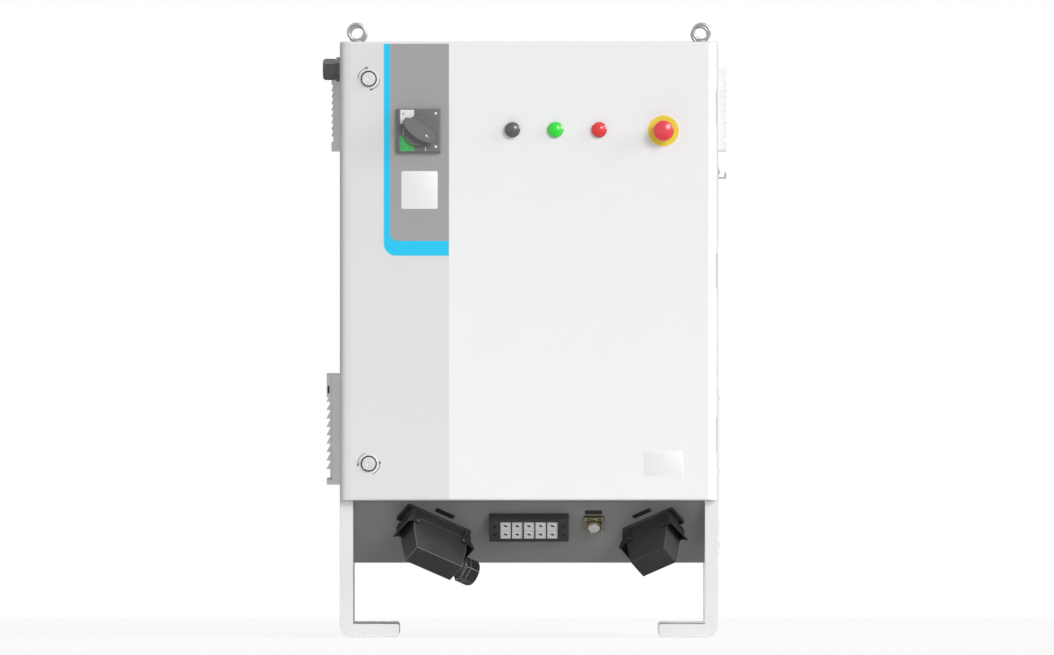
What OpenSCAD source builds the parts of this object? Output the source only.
/* [Cabinet body] */
// Width of the cabinet body
body_w = 742; // [730:2:780]
// Height of the cabinet body
body_h = 900; // [900:5:960]
// Depth of the cabinet body
body_d = 480; // [470:5:560]
// Thickness of the sheet steel
sheet = 2; // [1.5:0.25:2.5]
// Width of the front flange outside the sealing lip
flange_w = 35; // [33:1:36]

/* [Legs and connector bay] */
// Height of the body's floor above the ground
leg_h = 268; // [260:2:300]
// Thickness of a leg, seen from the front
leg_t = 26; // [24:1:30]
// Depth of a leg from front to back
leg_d = 50; // [40:5:60]
// Reach of a foot, measured from the outside of its leg
foot_reach = 116; // [110:2:130]
// Diameter of the anchor hole in each foot
anchor_d = 14; // [9:1:16]
// Height of the sloped connector bay
bay_h = 123; // [116:1:130]

/* [Door] */
// Gap between the body and the door's rear edge
door_gap = 5; // [5:0.5:6]
// Depth of the door's folded pan
door_t = 22; // [22:0.5:24]
// Radius of the door's upright edges
door_edge_r = 18; // [16:0.5:19]
// Diameter of the hinge pins
hinge_pin_d = 5; // [4:0.5:6]

/* [Operators] */
// Side of the square plate round the power switch
switch_plate_w = 86; // [80:1:92]
// Length of the power switch grip
grip_l = 72; // [68:1:84]
// Diameter of the lamps and of the push button
lamp_d = 30; // [28:0.5:32]
// Diameter of the emergency stop's mushroom head
stop_head_d = 40; // [36:1:44]
// Diameter of the round plate under the emergency stop
stop_ring_d = 60; // [56:1:66]

/* [Air covers] */
// Side of the two upper louvred covers
vent_w = 166; // [160:1:170]
// Number of louvres on an upper cover
vent_louvres = 8; // [6:1:8]
// Side of the fan's louvred cover
fan_w = 219; // [214:1:224]
// Number of louvres on the fan's cover
fan_louvres = 9; // [7:1:9]
// Number of fan blades
fan_blades = 7; // [5:1:9]

/* [Connectors] */
// Turn of the two angled connectors in the sloped panel, in degrees
connector_turn = 32; // [28:1:34]
// Height of the power hood above the panel
power_hood_h = 108; // [104:1:112]
// Height of the signal hood above the panel
signal_hood_h = 102; // [98:1:106]
// Number of grommet columns in the cable entry
grommet_columns = 5; // [3:1:5]

/* [Hidden] */
$fn = 48;

// Body planes
side_x = body_w / 2;
front_y = -body_d / 2;
back_y = body_d / 2;
floor_z = leg_h;
top_z = leg_h + body_h;
mid_z = floor_z + body_h / 2;
anchor_x = side_x - 81;
anchor_y = front_y + leg_d / 2;
eye_xs = [-side_x + 32.6, side_x - 32.6];
eye_ys = [front_y + 40, back_y - 40];

// Door planes
door_w = body_w - 6.6;
door_low_z = floor_z + 1;
door_high_z = top_z - 1;
door_rear_y = front_y - door_gap;
door_front_y = door_rear_y - door_t;
skin_y = door_front_y + sheet;
door_lip = 12;
door_end_r = 3.5;

// Sealing lip and gasket
lip_x = side_x - flange_w;
lip_low_z = floor_z + flange_w;
lip_high_z = top_z - flange_w;
gasket_w = 12;
gasket_t = 9;
gasket_gap = 0.3;
lip_front_y = skin_y + gasket_t + gasket_gap;

// Door hinges
hinge_x = door_w / 2 - 9.2;
hinge_y = door_rear_y - 9;
hinge_zs = [mid_z - 320, mid_z, mid_z + 320];
knuckle_r = 5;
knuckle_half = 14.7;
knuckle_end = 30;
pin_r = hinge_pin_d / 2;
running_fit = 0.06;

// Quarter-turn locks
lock_x = -313.8;
lock_zs = [floor_z + 827, floor_z + 72.6];
lock_bezel_r = 16.3;
lock_barrel_r = 11;
lock_core_r = 9.4;
cam_l = 37;
cam_w = 14;
cam_t = 3;
cam_y = front_y + sheet + 1.2;

// Fascia, a printed film on the door
film_t = 0.5;
fascia_right_x = -156.8;
fascia_grey_x = -271.9;
fascia_blue_x = -284.2;
fascia_top_z = door_high_z - 3.5;
fascia_grey_z = floor_z + 509;
fascia_blue_z = floor_z + 480.3;

// Power switch
switch_x = -215.6;
switch_z = floor_z + 725;
switch_plate_t = 12;
switch_face_y = door_front_y - switch_plate_t;
hub_r = 11;
grip_turn = -35;
shaft_w = 8;
shaft_tip_y = door_front_y + 5;

// Lamps, push button and emergency stop
operator_z = floor_z + 727;
button_x = -32.3;
lamp_green_x = 52.3;
lamp_red_x = 137.8;
stop_x = 264;
stop_z = floor_z + 725;
barrel_r = 11;
cap_r = lamp_d / 2 - 0.4;
collar_t = 2;
button_gap = 4;
stem_r = 5;
plunger_r = 6;
stop_collar_y = door_front_y - 12;
stop_rear_y = stop_collar_y - 6;
stop_head_t = 20;

// Air covers
cover_sheet = 2.5;
vent_y = -60;
vent_z = floor_z + 769;
vent_proud = 17;
vent_tooth = 3.5;
vent_pitch = 12.7;
vent_top_band = 35;
vent_low_band = 18.2;
vent_hole = 130;
mat_t = 8;
fan_z = floor_z + 140.2;
fan_frame_t = 16;
fan_cover_t = 10;
fan_tooth = 7;
fan_pitch = 16.5;
fan_louvre_mid = -4.5;
fan_hole = 180;
fan_bore_r = 80;
rotor_r = 76;
rotor_hub_r = 32;
rotor_half_t = 13;
fan_mat_w = 190;
fan_axle_r = 4;
grille_axis_x = -side_x - fan_frame_t - 5.3;
grille_axis_z = fan_z - fan_w / 2 + 5;
latch_x = grille_axis_x - 1.2;
latch_z = fan_z + 64.5;
latch_half_w = 10;
latch_pin_r = 1.2;

// Cable gland in the left wall
gland_y = -195;
gland_z = floor_z + 846;
gland_bore_r = 12.5;
gland_neck_r = 15.5;
gland_nut_r = 21;
gland_reach = 34;

// Mounting plate and the equipment on it
plate_y = 196;
plate_half_w = 325;
plate_low_z = floor_z + 32;
plate_high_z = top_z - 32;
duct_w = 40;
duct_d = 60;
duct_gap = 0.5;
rail_t = 7.5;
rail_zs = [floor_z + 502, floor_z + 202];
breaker_front_y = plate_y - 86;
boss_y = breaker_front_y - 14;

// Connector panel, tilted to face forwards and down
tilt = 135;
panel_t = 2.5;
bay_x = side_x - leg_t;
bay_rear_y = back_y - 5;
row_z = floor_z - 47;
power_x = -187;
signal_x = 244;
signal_z = row_z - 1.5;
round_x = 127.4;
flange_t = 4;
housing_h = 28;
hood_half_v = 24;
hood_fold = [1 / 3, -38];
hood_rise = [0.81, -28.7];
hood_end_h = -50;
pivot_n = 14;
peg_r = 3;
hood_peg = [-8, 24];
power_half_u = 60;
signal_half_u = 46;
hood_gland_n = power_hood_h - 19;
hood_gland_r = 26.5;
lever_t = 2.5;
lever_v = 24.5;
thumb = [[6, 6], [9, 6], [9, 20], [17.7, 36], [15, 37.5], [6, 21.5]];
grommet = [20.8, 23.4, 16];
grommet_row = 11.8;
grommet_pitch = 23;
socket_z = row_z + 3.4;
socket_r = 16;
socket_h = 16.5;
socket_face_r = 12;

// Box between two opposite corners.
module block(low, high) {
    translate(low) cube(high - low);
}

// Rectangle about the origin with round corners.
module round_rect(w, h, r) {
    square([w - 2 * r, h], center = true);
    square([w, h - 2 * r], center = true);
    for (x = [-1, 1], y = [-1, 1]) translate([x * (w / 2 - r), y * (h / 2 - r)]) circle(r);
}

// Extrudes a drawing of X and Z from one depth to another.
module slab_y(y0, y1) {
    translate([0, y1, 0]) rotate([90, 0, 0]) linear_extrude(y1 - y0) children();
}

// Extrudes a drawing of Y and Z from one side to another.
module slab_x(x0, x1) {
    translate([x0, 0, 0]) rotate([90, 0, 90]) linear_extrude(x1 - x0) children();
}

// Extrudes a drawing of X and Y from one height to another.
module slab_z(z0, z1) {
    translate([0, 0, z0]) linear_extrude(z1 - z0) children();
}

// Round bar along Y between two depths.
module rod_y(x, z, r, y0, y1) {
    slab_y(y0, y1) translate([x, z]) circle(r);
}

// Round bar along X between two sides.
module rod_x(y, z, r, x0, x1) {
    slab_x(x0, x1) translate([y, z]) circle(r);
}

// Shallow dome that faces the front, with its rim at a depth.
module dome_y(x, z, r, rise, rim_y) {
    ball_r = (r * r + rise * rise) / (2 * rise);
    intersection() {
        translate([x, rim_y - rise + ball_r, z]) sphere(ball_r);
        rod_y(x, z, r, rim_y - rise - 1, rim_y);
    }
}

// Body of the cabinet

// Side wall with the square hole for its upper air cover.
module side_wall(side) {
    x0 = side > 0 ? side_x - sheet : -side_x;
    difference() {
        block([x0, front_y + sheet, floor_z + sheet], [x0 + sheet, back_y - sheet, top_z - sheet]);
        slab_x(x0 - 1, x0 + sheet + 1) translate([vent_y, vent_z]) round_rect(vent_hole, vent_hole, 6);
        children();
    }
}

module side_wall_left() {
    color("#e6e6e6") side_wall(-1) {
        slab_x(-side_x - 1, -side_x + sheet + 1) {
            translate([vent_y, fan_z]) round_rect(fan_hole, fan_hole, 6);
            translate([gland_y, gland_z]) circle(20.2);
        }
    }
}

module side_wall_right() {
    color("#e6e6e6") side_wall(1);
}

module roof_panel() {
    color("#ececec") difference() {
        block([-side_x, front_y + sheet, top_z - sheet], [side_x, back_y - sheet, top_z]);
        for (x = eye_xs, y = eye_ys) translate([x, y, top_z - sheet - 1]) cylinder(r = 5.2, h = sheet + 2);
    }
}

// Floor with the slot through which the connectors' cables rise.
module floor_panel() {
    slot = [640, 215];
    color("#dcdcdc") difference() {
        block([-side_x, front_y + sheet, floor_z], [side_x, back_y - sheet, floor_z + sheet]);
        slab_z(floor_z - 1, floor_z + sheet + 1) translate([0, -107.5]) round_rect(slot[0], slot[1], 10);
    }
}

module rear_panel() {
    color("#e6e6e6") block([-side_x, back_y - sheet, floor_z], [side_x, back_y, top_z]);
}

// Front flange with the forward lip that presses into the door's gasket.
module front_frame() {
    color("#e6e6e6") translate([0, 0, mid_z]) {
        slab_y(front_y, front_y + sheet) difference() {
            round_rect(body_w, body_h, 3);
            square([2 * lip_x - sheet, body_h - 2 * flange_w - sheet], center = true);
        }
        slab_y(lip_front_y, front_y) difference() {
            square([2 * lip_x, body_h - 2 * flange_w], center = true);
            square([2 * (lip_x - sheet), body_h - 2 * flange_w - 2 * sheet], center = true);
        }
    }
}

// What a round corner leaves of its square, about the centre of the radius.
module corner_waste(r, inset) {
    difference() {
        square(r + 1);
        circle(r - inset);
    }
}

// Outline of one leg, seen from the front, drawn in by an inset.
module leg_outline(inset) {
    inner_x = side_x - leg_t;
    toe_x = side_x - foot_reach;
    toe_r = 5.5;
    difference() {
        union() {
            translate([inner_x + inset, inset]) square([leg_t - 2 * inset, leg_h - inset]);
            translate([toe_x + inset, inset]) square([foot_reach - 2 * inset, leg_t - 2 * inset]);
        }
        translate([inner_x, leg_t]) rotate(-90) corner_waste(leg_t, inset);
        translate([toe_x + toe_r, toe_r]) rotate(180) corner_waste(toe_r, inset);
        translate([toe_x + toe_r, leg_t - toe_r]) rotate(90) corner_waste(toe_r, inset);
    }
}

// Folded channel leg: closed at the front, open towards the middle.
module leg() {
    wall = 3;
    difference() {
        slab_y(front_y, front_y + leg_d) leg_outline(0);
        slab_y(front_y + wall, front_y + leg_d + 1) leg_outline(wall);
        translate([anchor_x, anchor_y, -1]) cylinder(d = anchor_d, h = leg_t + 2);
    }
}

module legs() {
    color("#e6e6e6") for (x = [0, 1], y = [0, 1]) mirror([x, 0, 0]) mirror([0, y, 0]) leg();
}

// Trough under the floor: cheeks, bottom and rear folded from one sheet.
module bay_shell() {
    low_z = floor_z - bay_h;
    lip_y = front_y + sheet + bay_h + 2;
    color("#5c5c5c") {
        for (x = [-bay_x, bay_x - sheet]) slab_x(x, x + sheet) polygon([[front_y + sheet, floor_z],
            [lip_y - 2, low_z], [bay_rear_y, low_z], [bay_rear_y, floor_z]]);
        block([-bay_x + sheet, lip_y, low_z], [bay_x - sheet, bay_rear_y, low_z + sheet]);
        block([-bay_x + sheet, bay_rear_y - sheet, low_z + sheet], [bay_x - sheet, bay_rear_y, floor_z]);
    }
}

// Puts what is drawn on the sloped panel: X right, Y up the slope, Z straight out of it.
module on_panel(x, z, turn = 0) {
    translate([x, front_y + sheet + floor_z - z, z]) rotate([tilt, 0, 0]) rotate([0, 0, turn]) children();
}

// Plate that carries the connectors.
module connector_panel() {
    half_v = bay_h / 2 * sqrt(2);
    color("#4a4a4a") difference() {
        on_panel(0, floor_z - bay_h / 2)
            block([-bay_x + sheet, -half_v, -panel_t], [bay_x - sheet, half_v - 2.6, 0]);
        on_panel(power_x, row_z, -connector_turn) slab_z(-4, 1) round_rect(114, 36, 4);
        on_panel(signal_x, signal_z, connector_turn) slab_z(-4, 1) round_rect(86, 36, 4);
        on_panel(0, row_z) slab_z(-4, 1) round_rect(124, 50, 3);
        on_panel(round_x, socket_z) translate([0, 0, -4]) cylinder(r = 15.2, h = 5);
    }
}

// Eye bolt: collar, neck and ring, with the thread and its nut under the roof.
module eye_bolt() {
    ring_r = 15.75;
    wire_r = 3.25;
    ring_z = 19;
    rotate_extrude() polygon([[0, -14], [5, -14], [5, 0], [11, 0], [11, 2.5], [6, 4.5], [5, 6], [0, 6]]);
    translate([0, 0, ring_z]) rotate([90, 0, 0]) rotate_extrude() translate([ring_r, 0]) circle(wire_r);
    translate([0, 0, -8 - sheet]) difference() {
        cylinder(r = 9.2, h = 8, $fn = 6);
        translate([0, 0, -1]) cylinder(r = 4.9, h = 10);
    }
}

module lifting_eyes() {
    color("#b9b9b9") for (x = eye_xs, y = eye_ys) translate([x, y, top_z]) eye_bolt();
}

// Air covers

// Row of pressed louvres that open downwards, drawn outwards from the X = 0 plane.
module louvres(count, pitch, tooth, width, hollow) {
    wall = 1.5;
    for (i = [0 : count - 1]) {
        z = (i - count / 2) * pitch;
        if (hollow)
            rotate([90, 0, 0]) translate([0, 0, wall - width / 2]) linear_extrude(width - 2 * wall)
                polygon([[-cover_sheet - 1, z - 0.5], [tooth - wall, z - 0.5], [tooth - wall, z + 0.4],
                    [-cover_sheet - 1, z + 0.62 * pitch]]);
        else
            rotate([90, 0, 0]) translate([0, 0, -width / 2]) linear_extrude(width)
                polygon([[-1, z], [tooth, z], [tooth, z + 1.2], [0, z + 0.9 * pitch], [-1, z + 0.9 * pitch]]);
    }
}

// Plain bands above and below the louvres, cut from one square with round corners.
module vent_bands(w, top, low) {
    intersection() {
        round_rect(w, w, 4);
        union() {
            translate([-w / 2, w / 2 - top]) square([w, top]);
            translate([-w / 2, -w / 2]) square([w, low]);
        }
    }
}

// Louvred cover over an upper vent: two proud bands with the louvres between them.
module vent_cover() {
    face = vent_proud - vent_tooth;
    inner_w = vent_w - 2 * cover_sheet;
    field_z = vent_w / 2 - vent_top_band - vent_louvres / 2 * vent_pitch;
    difference() {
        union() {
            slab_x(0, vent_proud) vent_bands(vent_w, vent_top_band, vent_low_band);
            slab_x(0, face) round_rect(vent_w, vent_w, 4);
            translate([face, 0, field_z]) louvres(vent_louvres, vent_pitch, vent_tooth, vent_w - 18, false);
        }
        slab_x(-1, face - cover_sheet) round_rect(inner_w, inner_w, 2);
        slab_x(-1, vent_proud - cover_sheet)
            vent_bands(inner_w, vent_top_band - 2 * cover_sheet, vent_low_band - 2 * cover_sheet);
        translate([face, 0, field_z]) louvres(vent_louvres, vent_pitch, vent_tooth, vent_w - 18, true);
    }
}

module vent_cover_left() {
    color("#c8c8c8") translate([-side_x, vent_y, vent_z]) mirror([1, 0, 0]) vent_cover();
}

module vent_cover_right() {
    color("#c8c8c8") translate([side_x, vent_y, vent_z]) vent_cover();
}

// Filter mats behind the three covers.
module filter_mats() {
    vent_mat = vent_w - 5 - 2 * cover_sheet;
    color("#d8d8d0") {
        for (x = [-side_x - mat_t, side_x])
            translate([0, vent_y, vent_z]) slab_x(x, x + mat_t) round_rect(vent_mat, vent_mat, 2);
        translate([-side_x, vent_y, fan_z]) slab_x(-fan_frame_t + 1, -4) square(fan_mat_w, center = true);
    }
}

// Fan frame: mat tray outside the wall, shroud, struts and motor seat inside it.
module fan_housing() {
    shroud_x = 38;
    ear = [10, 5.5, 10];
    color("#b5b5b5") translate([-side_x, vent_y, fan_z]) {
        difference() {
            union() {
                slab_x(-fan_frame_t, 0) round_rect(fan_w, fan_w, 5);
                slab_x(-1, shroud_x) round_rect(fan_hole - 2, fan_hole - 2, 6);
                for (y = [-fan_w / 2, fan_w / 2 - ear[1]])
                    translate([-fan_frame_t - ear[0], y, -fan_w / 2]) cube([ear[0] + 1, ear[1], ear[2]]);
            }
            slab_x(-fan_frame_t - 1, -4) square(fan_mat_w, center = true);
            rod_x(0, 0, fan_bore_r, -5, shroud_x + 1);
        }
        for (a = [45 : 90 : 315]) rotate([a, 0, 0])
            block([shroud_x - 6, -3, 20], [shroud_x, 3, fan_bore_r + 1]);
        rod_x(0, 0, 26, shroud_x - 6, shroud_x);
        rod_x(0, 0, fan_axle_r, 10, shroud_x - 5);
        for (s = [-1, 1]) translate([grille_axis_x + side_x, 0, grille_axis_z - fan_z])
            mirror([0, s > 0 ? 1 : 0, 0]) translate([0, -fan_w / 2 + ear[1] + 8, 0])
                rotate([90, 0, 0]) cylinder(r = 1.5, h = 9);
    }
}

// Louvred grille over the fan, turning down about its lower edge.
module fan_grille() {
    half = fan_w / 2;
    back = 5;
    face = fan_cover_t - fan_tooth;
    low = grille_axis_z - fan_z;
    color("#c8c8c8") translate([grille_axis_x, vent_y, fan_z]) mirror([1, 0, 0]) difference() {
        union() {
            slab_x(-back, -back + face) translate([0, (low + half) / 2])
                square([fan_w, half - low], center = true);
            slab_x(-back, back) translate([0, half - 24]) round_rect(fan_w, 48, 3);
            slab_x(-back, back) translate([0, low + 4]) square([fan_w, 8], center = true);
            translate([-back + face, 0, fan_louvre_mid])
                louvres(fan_louvres, fan_pitch, fan_tooth, fan_w, false);
            rotate([90, 0, 0]) translate([0, low, -half]) cylinder(r = back - 0.3, h = fan_w);
        }
        translate([-back + face, 0, fan_louvre_mid])
            louvres(fan_louvres, fan_pitch, fan_tooth, fan_w - 16, true);
        slab_x(-back + cover_sheet, back - cover_sheet - 3) translate([0, half - 11])
            square([fan_w - 8, 14], center = true);
        for (s = [-1, 1]) translate([-6, s * (half - 3) - 3.2, low - 8]) cube([14, 6.4, 16.4]);
        rotate([90, 0, 0]) translate([0, low, -half - 1]) cylinder(r = 1.56, h = fan_w + 2);
        block([-1.8, -latch_half_w - 2, latch_z - fan_z - 3.5],
            [back + 1, latch_half_w + 2, latch_z - fan_z + 28]);
    }
    color("#c8c8c8") translate([latch_x, vent_y, latch_z]) rotate([90, 0, 0])
        cylinder(r = latch_pin_r, h = 2 * latch_half_w + 6, center = true);
}

// Small snap catch in the top of the grille.
module fan_latch() {
    thick = 2.35;
    color("#3c3c3c") translate([latch_x, vent_y, latch_z]) difference() {
        union() {
            rotate([90, 0, 0]) cylinder(r = thick, h = 2 * latch_half_w, center = true);
            block([-thick, -latch_half_w, 0], [thick, latch_half_w, 21]);
            block([-thick - 1, -latch_half_w, 17], [0, latch_half_w, 21]);
        }
        rotate([90, 0, 0])
            cylinder(r = latch_pin_r + running_fit, h = 2 * latch_half_w + 2, center = true);
    }
}

// One blade, pitched across the stream and trimmed to the hub and the tip circle.
module fan_blade() {
    intersection() {
        rotate([0, 0, 32]) block([-17, -1.2, rotor_hub_r - 3], [17, 1.2, rotor_r + 4]);
        rod_x(0, 0, rotor_r, 1 - rotor_half_t, rotor_half_t - 1);
    }
}

module fan_rotor() {
    color("#2b2b2b") translate([-side_x + 15, vent_y, fan_z]) difference() {
        union() {
            rod_x(0, 0, rotor_hub_r, -rotor_half_t, rotor_half_t);
            for (i = [0 : fan_blades - 1]) rotate([i * 360 / fan_blades, 0, 0]) fan_blade();
        }
        rod_x(0, 0, fan_axle_r + running_fit, -6, rotor_half_t + 1);
        rod_x(0, 0, rotor_hub_r - 5, 6, rotor_half_t + 1);
    }
}

// Fittings on the side walls

// Gland body: hexagon flange outside the wall, thread and lock nut inside it.
module gland_body() {
    color("#232323") translate([-side_x, gland_y, gland_z]) rotate([0, -90, 0]) difference() {
        union() {
            cylinder(r = 24, h = 7, $fn = 6);
            translate([0, 0, -16]) cylinder(r = 20, h = 24);
            cylinder(r = gland_neck_r, h = 24);
            translate([0, 0, -8 - sheet]) cylinder(r = 26, h = 8, $fn = 6);
        }
        translate([0, 0, -17]) cylinder(r = gland_bore_r, h = 42);
    }
}

// Hexagon nut whose far end is rounded over, standing on the Z = 0 plane.
module dome_nut(r, l, edge) {
    intersection() {
        cylinder(r = r, h = l, $fn = 6);
        rotate_extrude() {
            square([r, l - edge]);
            square([r - edge, l]);
            translate([r - edge, l - edge]) circle(edge);
        }
    }
}

// Nut that squeezes the gland's seal on the cable.
module gland_nut() {
    seat = 8.2;
    color("#1c1c1c") translate([-side_x - seat, gland_y, gland_z]) rotate([0, -90, 0]) difference() {
        dome_nut(gland_nut_r, gland_reach - seat, 7);
        translate([0, 0, -1]) cylinder(r = gland_neck_r + 0.4, h = 17.8);
        translate([0, 0, -1]) cylinder(r = gland_bore_r + 1, h = gland_reach);
    }
}

// Hanger for the pendant's cable, folded from strip.
module pendant_hook() {
    strip = 2.5;
    half = 50;
    arm_z = floor_z + 633;
    color("#cfcfcf") translate([side_x, 0, arm_z]) slab_y(-half, half) {
        square([strip, 22]);
        square([17, strip]);
        translate([17 - strip, 0]) square([strip, 11.6]);
    }
}

// Skirt plate over the right legs and the foot of the wall.
module side_plate() {
    low_z = floor_z - 106.5;
    high_z = floor_z + 220.4;
    color("#d9d9d9") translate([0, 0, (low_z + high_z) / 2]) slab_x(side_x, side_x + 2.5)
        round_rect(body_d - 16, high_z - low_z, 6);
}

// Door hinges

// Leaf on the body: foot on the flange, arm past the pin's inner side, middle knuckle.
module cabinet_hinge() {
    foot_x = -21.5;
    foot_t = 2.5;
    arm_half = knuckle_half;
    back = front_y - hinge_y;
    slab_z(-arm_half, arm_half) difference() {
        union() {
            translate([-knuckle_r, 0]) square([3, back]);
            circle(knuckle_r);
        }
        circle(pin_r);
    }
    block([foot_x, back - foot_t, -28], [-2, back, 28]);
}

module cabinet_hinges() {
    color("#b4b4b4") for (z = hinge_zs) translate([hinge_x, hinge_y, z]) cabinet_hinge();
}

// Pin with a head on top, fast in the middle knuckle.
module hinge_pins() {
    color("#9c9c9c") for (z = hinge_zs) translate([hinge_x, hinge_y, z]) {
        translate([0, 0, -knuckle_end - 1]) cylinder(r = pin_r, h = 2 * knuckle_end + 2);
        translate([0, 0, knuckle_end + 0.3]) cylinder(r = 4, h = 1.8);
    }
}

// Leaf on the door: pad on the skin, curved arm and two outer knuckles.
module door_hinge() {
    pad = skin_y - hinge_y;
    inner_x = 342 - hinge_x - (371 - side_x);
    bend_x = door_w / 2 - door_edge_r - hinge_x;
    outer_l = knuckle_end - knuckle_half - 0.3;
    for (z = [-knuckle_end, knuckle_half + 0.3]) slab_z(z, z + outer_l) difference() {
        union() {
            polygon([[inner_x, pad], [bend_x, pad], [-1, pad + 4], [2.5, pad + 7.5], [0, 0], [-4.5, -3],
                [bend_x - 0.7, pad + 2.5], [inner_x, pad + 2.5]]);
            circle(knuckle_r);
        }
        circle(pin_r + running_fit);
    }
}

module door_hinges() {
    color("#b4b4b4") for (z = hinge_zs) translate([hinge_x, hinge_y, z]) door_hinge();
}

// Door

// Plan of the door, drawn in by an inset: square at the rear, round at both front edges.
module door_plan(inset, rear) {
    w = door_w / 2 - inset;
    r = door_edge_r - inset;
    y0 = door_front_y + inset;
    translate([-w, y0 + r]) square([2 * w, rear - y0 - r]);
    translate([-w + r, y0]) square([2 * (w - r), r + 1]);
    for (x = [-1, 1]) translate([x * (w - r), y0 + r]) circle(r);
}

// Side view of the door, with the small radius along its top and bottom.
module door_side() {
    h = door_high_z - door_low_z;
    translate([door_front_y + door_end_r, door_low_z]) square([door_t - door_end_r, h]);
    translate([door_front_y, door_low_z + door_end_r]) square([door_t, h - 2 * door_end_r]);
    for (z = [door_low_z + door_end_r, door_high_z - door_end_r])
        translate([door_front_y + door_end_r, z]) circle(door_end_r);
}

module door_panel() {
    w = door_w / 2;
    color("#f0f0f0") difference() {
        intersection() {
            slab_z(door_low_z, door_high_z) door_plan(0, door_rear_y);
            slab_x(-w - 1, w + 1) door_side();
        }
        slab_z(door_low_z + sheet, door_high_z - sheet) door_plan(sheet, door_rear_y - sheet);
        block([-w + door_lip, door_rear_y - 5, door_low_z + door_lip],
            [w - sheet, door_rear_y + 1, door_high_z - door_lip]);
        for (z = hinge_zs)
            block([w - 9, hinge_y - 3, z - 34], [w + 1, door_rear_y + 1, z + 34]);
        for (z = lock_zs) rod_y(lock_x, z, lock_barrel_r + 0.2, door_front_y - 1, skin_y + 1);
        for (x = [button_x, lamp_green_x, lamp_red_x])
            rod_y(x, operator_z, barrel_r + 0.2, door_front_y - 1, skin_y + 1);
        rod_y(stop_x, stop_z, barrel_r + 0.2, door_front_y - 1, skin_y + 1);
        rod_y(switch_x, switch_z, 16, door_front_y - 1, skin_y + 1);
    }
}

module door_gasket() {
    out_w = 2 * (lip_x - sheet / 2) + gasket_w;
    out_h = body_h - 2 * flange_w - sheet + gasket_w;
    color("#1d1d1d") translate([0, 0, mid_z]) slab_y(skin_y, skin_y + gasket_t) difference() {
        round_rect(out_w, out_h, 8);
        square([out_w - 2 * gasket_w, out_h - 2 * gasket_w], center = true);
    }
}

// Hat rails with a row of square holes, spot welded inside the door.
module door_stiffeners() {
    rail_l = body_h - 2 * flange_w - 34;
    color("#cfcfcf") for (x = [-281, 310]) difference() {
        slab_z(mid_z - rail_l / 2, mid_z + rail_l / 2) translate([x, skin_y]) {
            for (s = [-1, 1]) translate([s * 11 - 4, 0]) square([8, 1.5]);
            for (s = [-1, 1]) translate([s * 8 - 0.75, 0]) square([1.5, 11]);
            translate([-8.75, 10]) square([17.5, 1.5]);
        }
        for (i = [-7.5 : 7.5]) translate([x - 4, skin_y + 8, mid_z + i * 50 - 6]) cube([8, 5, 12]);
    }
}

// Printed film: blue edge stripe that turns under the grey field.
module fascia_outline(left, low, r) {
    w = fascia_right_x - left;
    h = fascia_top_z - low;
    translate([left + r, low]) square([w - r, h]);
    translate([left, low + r]) square([w, h - r]);
    translate([left + r, low + r]) circle(r);
}

module fascia_blue() {
    color("#35c4ee") slab_y(door_front_y - film_t, door_front_y) difference() {
        fascia_outline(fascia_blue_x, fascia_blue_z, 24);
        fascia_outline(fascia_grey_x, fascia_grey_z, 15);
        translate([fascia_grey_x, fascia_grey_z + 20]) square([200, 500]);
    }
}

module fascia_grey() {
    color("#a4a4a4") slab_y(door_front_y - film_t, door_front_y) difference() {
        fascia_outline(fascia_grey_x, fascia_grey_z, 15);
        translate([switch_x, switch_z]) square(switch_plate_w, center = true);
    }
}

// Power switch

// Raised plate of the switch, bevelled all round, with the hole for the grip's hub.
module switch_plate() {
    half = switch_plate_w / 2;
    bevel = 2.5;
    rim = [[-half, 0], [half, 0], [half, -switch_plate_t + bevel], [half - bevel, -switch_plate_t],
        [-half + bevel, -switch_plate_t], [-half, -switch_plate_t + bevel]];
    color("#6f6f6f") translate([switch_x, door_front_y, switch_z]) difference() {
        intersection() {
            slab_z(-half, half) polygon(rim);
            rotate([0, 90, 0]) slab_z(-half, half) polygon(rim);
        }
        rod_y(0, 0, hub_r + running_fit, -switch_plate_t - 1, 1);
    }
}

// Outline of the grip, two long arcs with blunt ends, drawn in by an inset.
module grip_outline(inset) {
    side_r = 72;
    beam = 32;
    rotate(grip_turn) intersection() {
        translate([0, side_r - beam / 2]) circle(side_r - inset, $fn = 96);
        translate([0, beam / 2 - side_r]) circle(side_r - inset, $fn = 96);
        square([grip_l - 2 * inset, beam], center = true);
    }
}

// Grip shaped like a boat on a round turning boss, with the socket for the shaft behind.
module switch_handle() {
    boss_r = 30;
    rim_y = -22;
    color("#6a6a6a") translate([switch_x, switch_face_y - 0.4, switch_z]) difference() {
        union() {
            rod_y(0, 0, boss_r, -7, 0);
            slab_y(rim_y, -7) grip_outline(0);
            slab_y(-24, rim_y) grip_outline(1.8);
            rod_y(0, 0, hub_r, 0, switch_plate_t + 12);
        }
        block([-shaft_w / 2 - 0.5, switch_plate_t - 2, -shaft_w / 2 - 0.5],
            [shaft_w / 2 + 0.5, switch_plate_t + 13, shaft_w / 2 + 0.5]);
    }
}

// Quarter-turn locks

module lock_housings() {
    color("#d0d0d0") for (z = lock_zs) difference() {
        union() {
            rod_y(lock_x, z, lock_bezel_r, door_front_y - 3, door_front_y);
            rod_y(lock_x, z, lock_barrel_r, door_front_y - 1, front_y - 2);
            slab_y(skin_y, skin_y + 5) translate([lock_x, z]) circle(14.5, $fn = 6);
        }
        rod_y(lock_x, z, lock_core_r + running_fit, door_front_y - 4, front_y);
        rod_y(lock_x, z, 13, door_front_y - 4, door_front_y - 1.5);
    }
}

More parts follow.
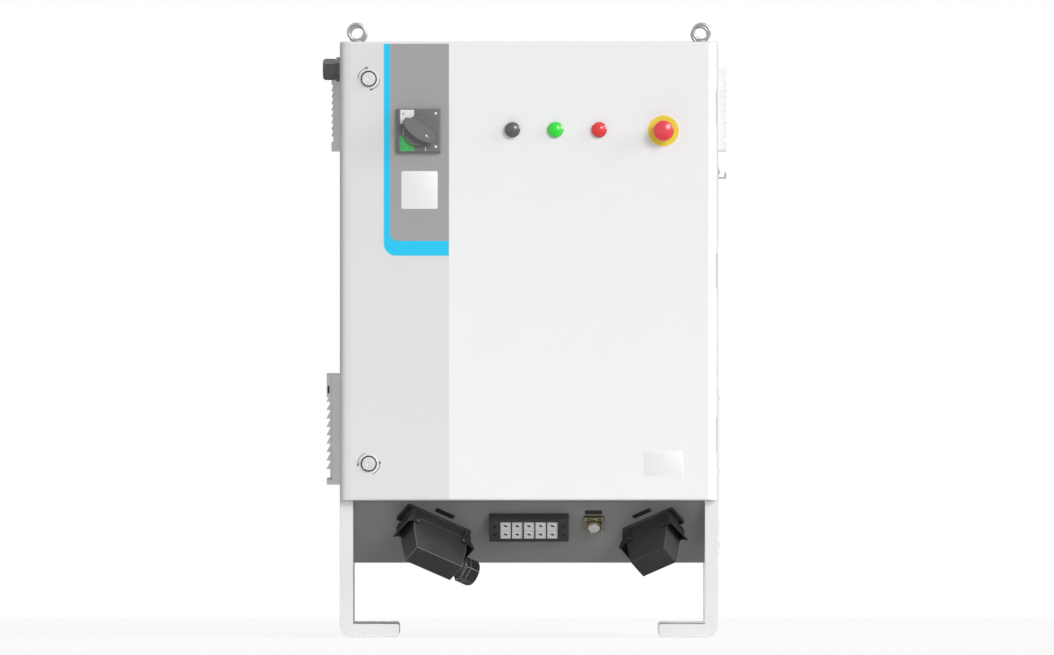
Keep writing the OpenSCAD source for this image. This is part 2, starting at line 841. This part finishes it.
// Core with its key slot, square end and locking cam, which points up or down when open.
module lock_core(z, way) {
    color("#c4c4c4") translate([lock_x, 0, z]) {
        difference() {
            rod_y(0, 0, lock_core_r, door_front_y - 2, front_y - 1);
            slab_y(door_front_y - 3, door_front_y + 5) {
                square([2.4, 12], center = true);
                circle(3);
            }
        }
        slab_y(front_y - 1, cam_y + cam_t) square(8, center = true);
        slab_y(cam_y, cam_y + cam_t) {
            circle(cam_w / 2);
            translate([-cam_w / 2, way > 0 ? 0 : -cam_l + cam_w / 2]) square([cam_w, cam_l - cam_w / 2]);
            translate([0, way * (cam_l - cam_w / 2)]) circle(cam_w / 2);
        }
    }
}

module lock_upper() {
    lock_core(lock_zs[0], -1);
}

module lock_lower() {
    lock_core(lock_zs[1], 1);
}

// Lamps, push button and emergency stop

// Threaded barrel through the door, ring nut and contact block behind it.
module operator_body(x, z, front, bore) {
    difference() {
        union() {
            rod_y(x, z, lamp_d / 2, front, door_front_y);
            rod_y(x, z, barrel_r, door_front_y - 1, skin_y + 22);
            slab_y(skin_y, skin_y + 5) translate([x, z]) circle(15.5, $fn = 6);
            slab_y(skin_y + 18, skin_y + 58) translate([x, z]) round_rect(30, 42, 2);
        }
        rod_y(x, z, bore, front - 1, skin_y + 44);
    }
}

module operator_bodies() {
    front = door_front_y - collar_t;
    color("#3a3a3a") {
        for (x = [button_x, lamp_green_x, lamp_red_x])
            operator_body(x, operator_z, front, stem_r + running_fit);
        operator_body(stop_x, stop_z, stop_collar_y, plunger_r + running_fit);
    }
}

// Domed lamp lens with its spigot in the barrel.
module lens(x) {
    rim = door_front_y - collar_t;
    rod_y(x, operator_z, cap_r, rim - 5, rim);
    dome_y(x, operator_z, cap_r, 6, rim - 5);
    rod_y(x, operator_z, stem_r, rim - 1, rim + 8);
}

module lamp_green() {
    color("#19c832") lens(lamp_green_x);
}

module lamp_red() {
    color("#d81e1e") lens(lamp_red_x);
}

module push_button() {
    rim = door_front_y - collar_t - button_gap;
    color("#3c3c3c") {
        rod_y(button_x, operator_z, cap_r, rim - 4, rim);
        dome_y(button_x, operator_z, cap_r, 5, rim - 4);
        rod_y(button_x, operator_z, stem_r, rim - 1, skin_y + 34);
    }
}

module estop_ring() {
    color("#f2d11c") slab_y(door_front_y - 1.5, door_front_y) translate([stop_x, stop_z]) difference() {
        circle(d = stop_ring_d);
        circle(lamp_d / 2 + 0.2);
    }
}

module estop_plunger() {
    color("#8c8c8c") {
        rod_y(stop_x, stop_z, plunger_r, stop_rear_y - 12, skin_y + 38);
        rod_y(stop_x, stop_z, 8.5, stop_rear_y + 0.3, stop_rear_y + 1.5);
    }
}

// Mushroom head: rolled rim, flat skirt and a low dome, over a socket for the plunger.
module estop_head() {
    r = stop_head_d / 2;
    color("#d9232e") translate([stop_x, stop_rear_y, stop_z]) rotate([90, 0, 0]) difference() {
        union() {
            cylinder(r = 13, h = stop_head_t - 8);
            translate([0, 0, 4]) cylinder(r = r - 3, h = stop_head_t - 9);
            translate([0, 0, 4]) cylinder(r = r, h = stop_head_t - 11);
            translate([0, 0, stop_head_t - 7]) rotate_extrude() {
                translate([r - 3, 0]) circle(3);
                square([r - 3, 3]);
            }
            translate([0, 0, stop_head_t - 4]) intersection() {
                translate([0, 0, 4 - 38]) sphere(38);
                cylinder(r = r - 3, h = 5);
            }
        }
        translate([0, 0, -1]) cylinder(r = plunger_r + running_fit, h = 13.3);
    }
}

// Equipment inside

// Plate with its four standoffs to the rear panel.
module mounting_plate() {
    color("#b8bcc0") {
        block([-plate_half_w, plate_y, plate_low_z], [plate_half_w, plate_y + 3, plate_high_z]);
        for (x = [-1, 1], z = [plate_low_z + 25, plate_high_z - 25])
            rod_y(x * (plate_half_w - 25), z, 9, plate_y + 3, back_y - sheet);
    }
}

// Moulded-case breaker with its rotary drive boss on the front.
module main_breaker() {
    half = [52, 80];
    pole = 33;
    color("#4d4f52") difference() {
        translate([switch_x, 0, switch_z]) {
            slab_y(breaker_front_y + 18, plate_y) round_rect(2 * half[0], 2 * half[1], 3);
            slab_y(breaker_front_y, breaker_front_y + 18) round_rect(2 * half[0], 96, 3);
            rod_y(0, 0, 24, boss_y, breaker_front_y);
        }
        for (i = [-1 : 1], s = [-1, 1]) translate([switch_x + i * pole, breaker_front_y, switch_z]) {
            rod_y(0, s * 68, 9, 17, 39);
            translate([-9, 30, s * 76 - 8]) cube([18, 24, 16]);
        }
        rod_y(switch_x, switch_z, 6, boss_y - 1, breaker_front_y + 30);
    }
}

// Long square shaft from the breaker to the grip's socket.
module breaker_shaft() {
    color("#c2c2c2") translate([switch_x, 0, switch_z]) {
        slab_y(shaft_tip_y, boss_y - 4) square(shaft_w, center = true);
        rod_y(0, 0, 6 - running_fit, boss_y - 5, breaker_front_y + 28);
        rod_y(0, 0, 9, boss_y - 6, boss_y - 1);
    }
}

// Servo drive: finned heat sink against the plate, housing and terminal rows in front.
module servo_drive() {
    low = [-130, plate_y - 190, floor_z + 382];
    size = [220, 140, 420];
    sink_d = 50;
    fins = 14;
    color("#d4d6d8") difference() {
        union() {
            translate(low) cube(size);
            translate([low[0] + 10, plate_y - sink_d, low[2] + 10]) cube([size[0] - 20, 6, size[2] - 20]);
            for (i = [0 : fins])
                translate([low[0] + 10 + i * (size[0] - 23) / fins, plate_y - sink_d, low[2] + 10])
                    cube([3, sink_d, size[2] - 20]);
        }
        for (i = [0 : 5]) translate([low[0] + 22 + i * 30, low[1] - 1, low[2] + 18]) cube([24, 26, 34]);
        for (i = [0 : 5]) translate([low[0] + 22 + i * 30, low[1] - 1, low[2] + 368]) cube([24, 26, 34]);
        for (i = [0 : 8]) translate([low[0] + 40, low[1] - 1, low[2] + 120 + i * 14]) cube([140, 6, 6]);
    }
}

// Motion controller with side vents and a port field.
module control_unit() {
    low = [112, plate_y - 170, floor_z + 432];
    size = [150, 170, 340];
    color("#3f454b") difference() {
        translate(low) cube(size);
        for (i = [0 : 3], j = [0 : 1]) translate([low[0] + 20 + i * 29, low[1] - 1, low[2] + 30 + j * 40])
            cube([20, 12, 26]);
        for (i = [0 : 9]) translate([low[0] + 25, low[1] - 1, low[2] + 180 + i * 13]) cube([100, 5, 5]);
    }
}

// Snap-on devices: two contactors, the power supply and a row of terminals.
module rail_devices() {
    face = plate_y - rail_t;
    color("#70757a") {
        for (x = [-260, -212]) difference() {
            union() {
                block([x, face - 84, rail_zs[0] - 40], [x + 45, face, rail_zs[0] + 40]);
                block([x + 8, face - 92, rail_zs[0] - 20], [x + 37, face - 83, rail_zs[0] + 20]);
            }
            for (i = [0 : 2], s = [-1, 1])
                translate([x + 4 + i * 13, face - 85, rail_zs[0] + s * 34 - 4]) cube([10, 30, 8]);
        }
        difference() {
            block([-255, face - 110, rail_zs[1] - 62], [-195, face, rail_zs[1] + 62]);
            for (i = [0 : 7]) translate([-248, face - 111, rail_zs[1] - 20 + i * 9]) cube([46, 4, 4]);
        }
        difference() {
            block([-90, face - 46, rail_zs[1] - 26], [140, face, rail_zs[1] + 26]);
            for (i = [0 : 21]) translate([-85 + i * 10.2, face - 47, rail_zs[1] - 27]) cube([1.2, 38, 54]);
            for (i = [0 : 21], s = [-1, 1])
                rod_y(-79.5 + i * 10.2, rail_zs[1] + s * 15, 3, face - 47, face - 39);
        }
    }
}

// Top-hat rails, drawn as their end profile.
module din_rails() {
    color("#c8ccd0") for (r = [[-272, -150, rail_zs[0]], [-270, 270, rail_zs[1]]])
        translate([0, plate_y, r[2]]) slab_x(r[0], r[1]) {
            translate([-1, -13.5]) square([1, 27]);
            for (s = [-1, 1]) translate([-rail_t, s * 13 - 0.5]) square([rail_t, 1]);
            for (s = [-1, 1]) translate([-rail_t, s * 15.25 - 2.25]) square([1, 4.5]);
        }
}

// Length of slotted trunking along X with its lid, resting on the Y = 0 plane.
module duct(length) {
    wall = 2;
    pitch = 25;
    slots = floor((length - 20) / pitch);
    for (z = [0, duct_w - wall]) slab_z(z, z + wall) difference() {
        translate([0, -duct_d]) square([length, duct_d]);
        for (i = [0 : slots]) translate([12 + i * pitch - 4, -duct_d + 6]) square([8, duct_d - 22]);
    }
    block([0, -wall, wall], [length, 0, duct_w - wall]);
    block([0, -duct_d, wall], [length, -duct_d + wall, duct_w - wall]);
}

module wiring_ducts() {
    outer = plate_half_w - 7;
    long = plate_high_z - plate_low_z - 20;
    span = 2 * (outer - duct_w - duct_gap);
    color("#9aa0a6") translate([0, plate_y, 0]) {
        for (x = [-outer + duct_w, outer])
            translate([x, 0, plate_low_z + 10]) rotate([0, -90, 0]) duct(long);
        for (z = [plate_low_z + 10, floor_z + 322, plate_high_z - 10 - duct_w])
            translate([-span / 2, 0, z]) duct(span);
    }
}

// Connectors on the sloped panel

// Panel half of a connector: flange, collar, insert and the pivots of its levers.
module housing(flange_u, flange_v, half_u) {
    slab_z(0, flange_t) difference() {
        round_rect(flange_u, flange_v, 5);
        for (x = [-1, 1], y = [-1, 1])
            translate([x * (flange_u / 2 - 6), y * (flange_v / 2 - 6)]) circle(2.2);
    }
    slab_z(flange_t, housing_h) round_rect(2 * half_u + 4, 2 * hood_half_v - 3, 3);
    slab_z(-20, 1) round_rect(2 * half_u - 12, 34, 3);
    for (x = [-half_u, half_u]) translate([x, 0, pivot_n]) rotate([90, 0, 0])
        cylinder(r = peg_r, h = 2 * (lever_v + lever_t), center = true);
}

module connector_housings() {
    color("#2b2b2b") {
        on_panel(power_x, row_z, -connector_turn) housing(146, 49, power_half_u);
        on_panel(signal_x, signal_z, connector_turn) housing(117, 49, signal_half_u);
    }
}

// Part of a hood: a skirt with the given side view, drawn in to a strip of the outer face.
module hood_loft(side, u0, u1, face_v, height) {
    hull() {
        rotate([90, 0, 0]) linear_extrude(2 * hood_half_v, center = true) polygon(side);
        translate([u0, -face_v, height - 1]) cube([u1 - u0, 2 * face_v, 1]);
    }
}

// Plug half: the fold under its outer face lies low in the middle and climbs towards both ends.
module hood(half_u, face_u, face_v, height) {
    fold = [half_u * hood_fold[0], height + hood_fold[1]];
    rise = [half_u * hood_rise[0], height + hood_rise[1]];
    hood_loft([[-fold[0], housing_h], [fold[0], housing_h], fold, [-fold[0], fold[1]]],
        -fold[0], fold[0], face_v, height);
    for (s = [0, 1]) mirror([s, 0, 0])
        hood_loft([[fold[0], housing_h], [half_u, housing_h], [half_u, height + hood_end_h], rise, fold],
            fold[0], face_u, face_v, height);
    for (s = [-1, 1]) translate([s * (half_u + hood_peg[0]), 0, pivot_n + hood_peg[1]]) rotate([90, 0, 0])
        cylinder(r = peg_r, h = 2 * (lever_v + lever_t), center = true);
}

module power_hood() {
    color("#333333") on_panel(power_x, row_z, -connector_turn) difference() {
        union() {
            hood(power_half_u, 51.7, 22.6, power_hood_h);
            translate([power_half_u - 20, 0, hood_gland_n]) rotate([0, 90, 0])
                cylinder(r = power_hood_h - hood_gland_n - 0.1, h = 20);
        }
        translate([power_half_u - 40, 0, hood_gland_n]) rotate([0, 90, 0]) cylinder(r = 14, h = 41);
    }
}

module signal_hood() {
    color("#333333") on_panel(signal_x, signal_z, connector_turn)
        hood(signal_half_u, 38, 23.6, signal_hood_h);
}

// Gland on the end of the power hood: collar, hexagon and the nut that is rounded over.
module hood_gland() {
    color("#262626") on_panel(power_x, row_z, -connector_turn)
        translate([power_half_u, 0, hood_gland_n]) rotate([0, 90, 0]) difference() {
            union() {
                cylinder(r = 22, h = 20);
                translate([0, 0, 3]) cylinder(r = hood_gland_r, h = 8, $fn = 6);
                translate([0, 0, 12.5]) dome_nut(hood_gland_r, 21.5, 8);
            }
            translate([0, 0, -1]) cylinder(r = 12, h = 40);
        }
}

// Cheek of a locking lever, seen along its pivot, with the open hook for the hood's peg.
module lever_cheek() {
    peg_at = norm(hood_peg);
    play = peg_r + 0.4;
    difference() {
        union() {
            circle(6.5);
            polygon([[-6.5, 0], [6.5, 0], thumb[1], thumb[2], thumb[3], thumb[4], [4, 30], [-12, 31], [-12, 20]]);
        }
        circle(peg_r + running_fit);
        translate(hood_peg) circle(play);
        rotate(atan2(hood_peg[1], hood_peg[0])) intersection() {
            difference() {
                circle(peg_at + play);
                circle(peg_at - play);
            }
            square([60, 60]);
        }
    }
}

// Lever round one end of a connector: two cheeks and the flared thumb plate that joins them.
module lever() {
    for (v = [-lever_v - lever_t, lever_v])
        rotate([90, 0, 0]) translate([0, 0, v]) linear_extrude(lever_t) lever_cheek();
    rotate([90, 0, 0]) linear_extrude(2 * (lever_v + lever_t), center = true) polygon(thumb);
}

// Lever at one end of a connector: end is +1 or -1.
module lever_at(x, z, turn, half_u, end) {
    on_panel(x, z, turn) translate([end * half_u, 0, pivot_n]) mirror([end > 0 ? 0 : 1, 0, 0]) lever();
}

module power_lever_left() {
    color("#1f1f1f") lever_at(power_x, row_z, -connector_turn, power_half_u, -1);
}

module power_lever_right() {
    color("#1f1f1f") lever_at(power_x, row_z, -connector_turn, power_half_u, 1);
}

module signal_lever_left() {
    color("#1f1f1f") lever_at(signal_x, signal_z, connector_turn, signal_half_u, -1);
}

module signal_lever_right() {
    color("#1f1f1f") lever_at(signal_x, signal_z, connector_turn, signal_half_u, 1);
}

// Middle of a grommet column; a bar parts the second column from the third.
function column_u(i) = (i - (grommet_columns - 1) / 2) * grommet_pitch;

// Split frame that clamps the rows of grommets.
module cable_entry_frame() {
    w = 156;
    h = 61;
    deep = 18;
    bar = (column_u(1) + column_u(2)) / 2;
    ends = column_u(grommet_columns - 1) + grommet[0] / 2 + 0.2;
    color("#1f1f1f") on_panel(0, row_z) {
        difference() {
            union() {
                slab_z(0, deep) round_rect(w, h, 3);
                slab_z(-6, 1) round_rect(122, 4 * grommet_row + 2.4, 2);
            }
            for (u = [[-ends, bar - 1.1], [bar + 1.1, ends]])
                block([u[0], -2 * grommet_row, -7], [u[1], 2 * grommet_row, deep + 1]);
            for (x = [-1, 1], y = [-12, 12]) translate([x * 67.5, y, deep - 3]) cylinder(r = 3.2, h = 4);
        }
    }
}

// Rubber grommets, each with the small hole of an unused entry.
module cable_grommets() {
    color("#bdbdbd") on_panel(0, row_z) for (i = [0 : grommet_columns - 1], s = [-1, 1])
        translate([column_u(i), s * grommet_row, -4]) difference() {
            linear_extrude(grommet[2] + 4) square([grommet[0], grommet[1]], center = true);
            translate([0, 0, 12]) cylinder(r = 2.6, h = 10);
        }
}

// Round metal socket: thick square flange, plain drum, and its face inside a deep ring groove.
module round_socket() {
    flange = 40;
    flange_h = 7;
    screw_at = 15.5;
    contacts = 7;
    color("#b9ad90") on_panel(round_x, socket_z) {
        slab_z(0, flange_h) difference() {
            round_rect(flange, flange, 4);
            for (x = [-1, 1], y = [-1, 1]) translate([x * screw_at, y * screw_at]) circle(1.7);
        }
        difference() {
            union() {
                translate([0, 0, -16]) cylinder(r = 15, h = 17);
                cylinder(r = socket_r, h = socket_h);
            }
            translate([0, 0, -17]) cylinder(r = socket_face_r, h = 12);
            translate([0, 0, socket_h - 6]) rotate_extrude()
                translate([socket_face_r, 0]) square([2.2, 7]);
            for (i = [1 : contacts]) rotate([0, 0, i * 360 / contacts])
                translate([8, 0, socket_h - 9]) cylinder(r = 1.1, h = 10);
            translate([0, 0, socket_h - 9]) cylinder(r = 1.1, h = 10);
        }
    }
}

side_wall_left();
side_wall_right();
roof_panel();
floor_panel();
rear_panel();
front_frame();
bay_shell();
connector_panel();
legs();
lifting_eyes();
vent_cover_left();
vent_cover_right();
filter_mats();
fan_housing();
fan_grille();
fan_latch();
fan_rotor();
gland_body();
gland_nut();
pendant_hook();
side_plate();
cabinet_hinges();
hinge_pins();
door_panel();
door_gasket();
door_stiffeners();
door_hinges();
fascia_blue();
fascia_grey();
switch_plate();
switch_handle();
lock_housings();
lock_upper();
lock_lower();
operator_bodies();
lamp_green();
lamp_red();
push_button();
estop_ring();
estop_plunger();
estop_head();
mounting_plate();
main_breaker();
breaker_shaft();
servo_drive();
control_unit();
rail_devices();
din_rails();
wiring_ducts();
connector_housings();
power_hood();
signal_hood();
hood_gland();
power_lever_left();
power_lever_right();
signal_lever_left();
signal_lever_right();
cable_entry_frame();
cable_grommets();
round_socket();
